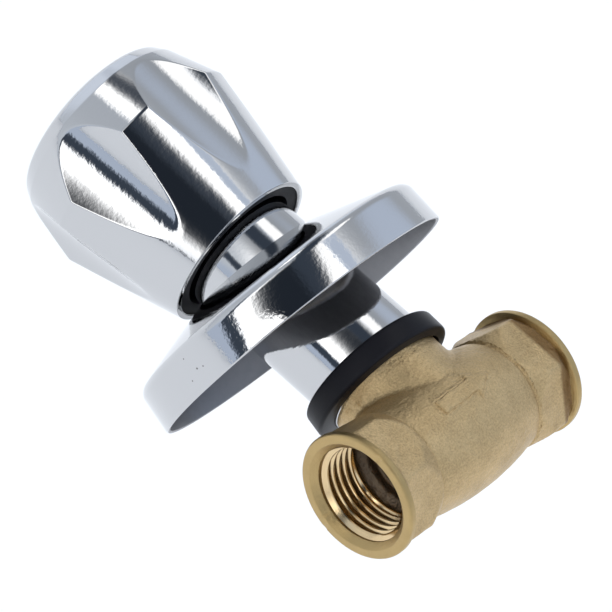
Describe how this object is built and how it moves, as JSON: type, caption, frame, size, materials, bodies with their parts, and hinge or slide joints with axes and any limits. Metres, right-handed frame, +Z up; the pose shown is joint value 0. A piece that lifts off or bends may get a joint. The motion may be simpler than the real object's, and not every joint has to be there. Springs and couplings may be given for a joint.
{
  "type": "concealed stop valve",
  "caption": "Concealed globe stop valve in cast brass with threaded ports, a long chrome sleeve, a sliding wall flange and a fluted chrome handle.",
  "frame": {"origin": "on the pipe's centre line where the inlet's thread starts, 0.76 mm inside its mouth", "axes": "+X points out of the inlet mouth along the pipe's centre line, the outlet faces -X, the handle is toward -Y, out of the wall, and +Z is up"},
  "size_m": [0.0702, 0.1148, 0.0694],
  "materials": {
    "cast_brass": "sand-cast, dull and grainy, bright where machined",
    "turned_brass": "turned",
    "brass_screw": "plain",
    "polished_chrome": "mirror polished",
    "black_plastic": "moulded, faint sheen",
    "white_plastic": "plain",
    "black_rubber": "smooth",
    "spring_steel": "plain"
  },
  "bodies": {
    "body": {"valve_body": "cast_brass", "bonnet": "turned_brass", "bonnet_seal": "black_rubber", "thrust_washer": "white_plastic", "sleeve": "polished_chrome", "body_ring": "black_plastic"},
    "handle": {"handle_shell": "polished_chrome", "handle_insert": "black_plastic", "handle_screw": "spring_steel", "handle_cap": "polished_chrome", "spindle_extension": "turned_brass", "extension_screw": "spring_steel", "spindle": "turned_brass", "spindle_clip": "spring_steel", "spindle_seal_lower": "black_rubber", "spindle_seal_upper": "black_rubber"},
    "plunger": {"plunger": "turned_brass", "seat_washer": "black_rubber", "washer_screw": "brass_screw"},
    "flange": {"wall_flange": "polished_chrome"}
  },
  "joints": [
    {"name": "handle_turn", "type": "hinge", "parent": "body", "child": "handle", "pos_m": [-0.02729, -0.05, 0], "axis": [0, -1, 0], "range_deg": [0, 1080]},
    {"name": "plunger_lift", "type": "slide", "parent": "body", "child": "plunger", "axis": [0, -1, 0], "range_m": [0, 0.0045]},
    {"name": "flange_slide", "type": "slide", "parent": "body", "child": "flange", "axis": [0, 1, 0], "range_m": [0, 0.02]}
  ],
  "couplings": [
    {"joint": "plunger_lift", "follows": "handle_turn", "m_per_rad": 0.00023873}
  ]
}
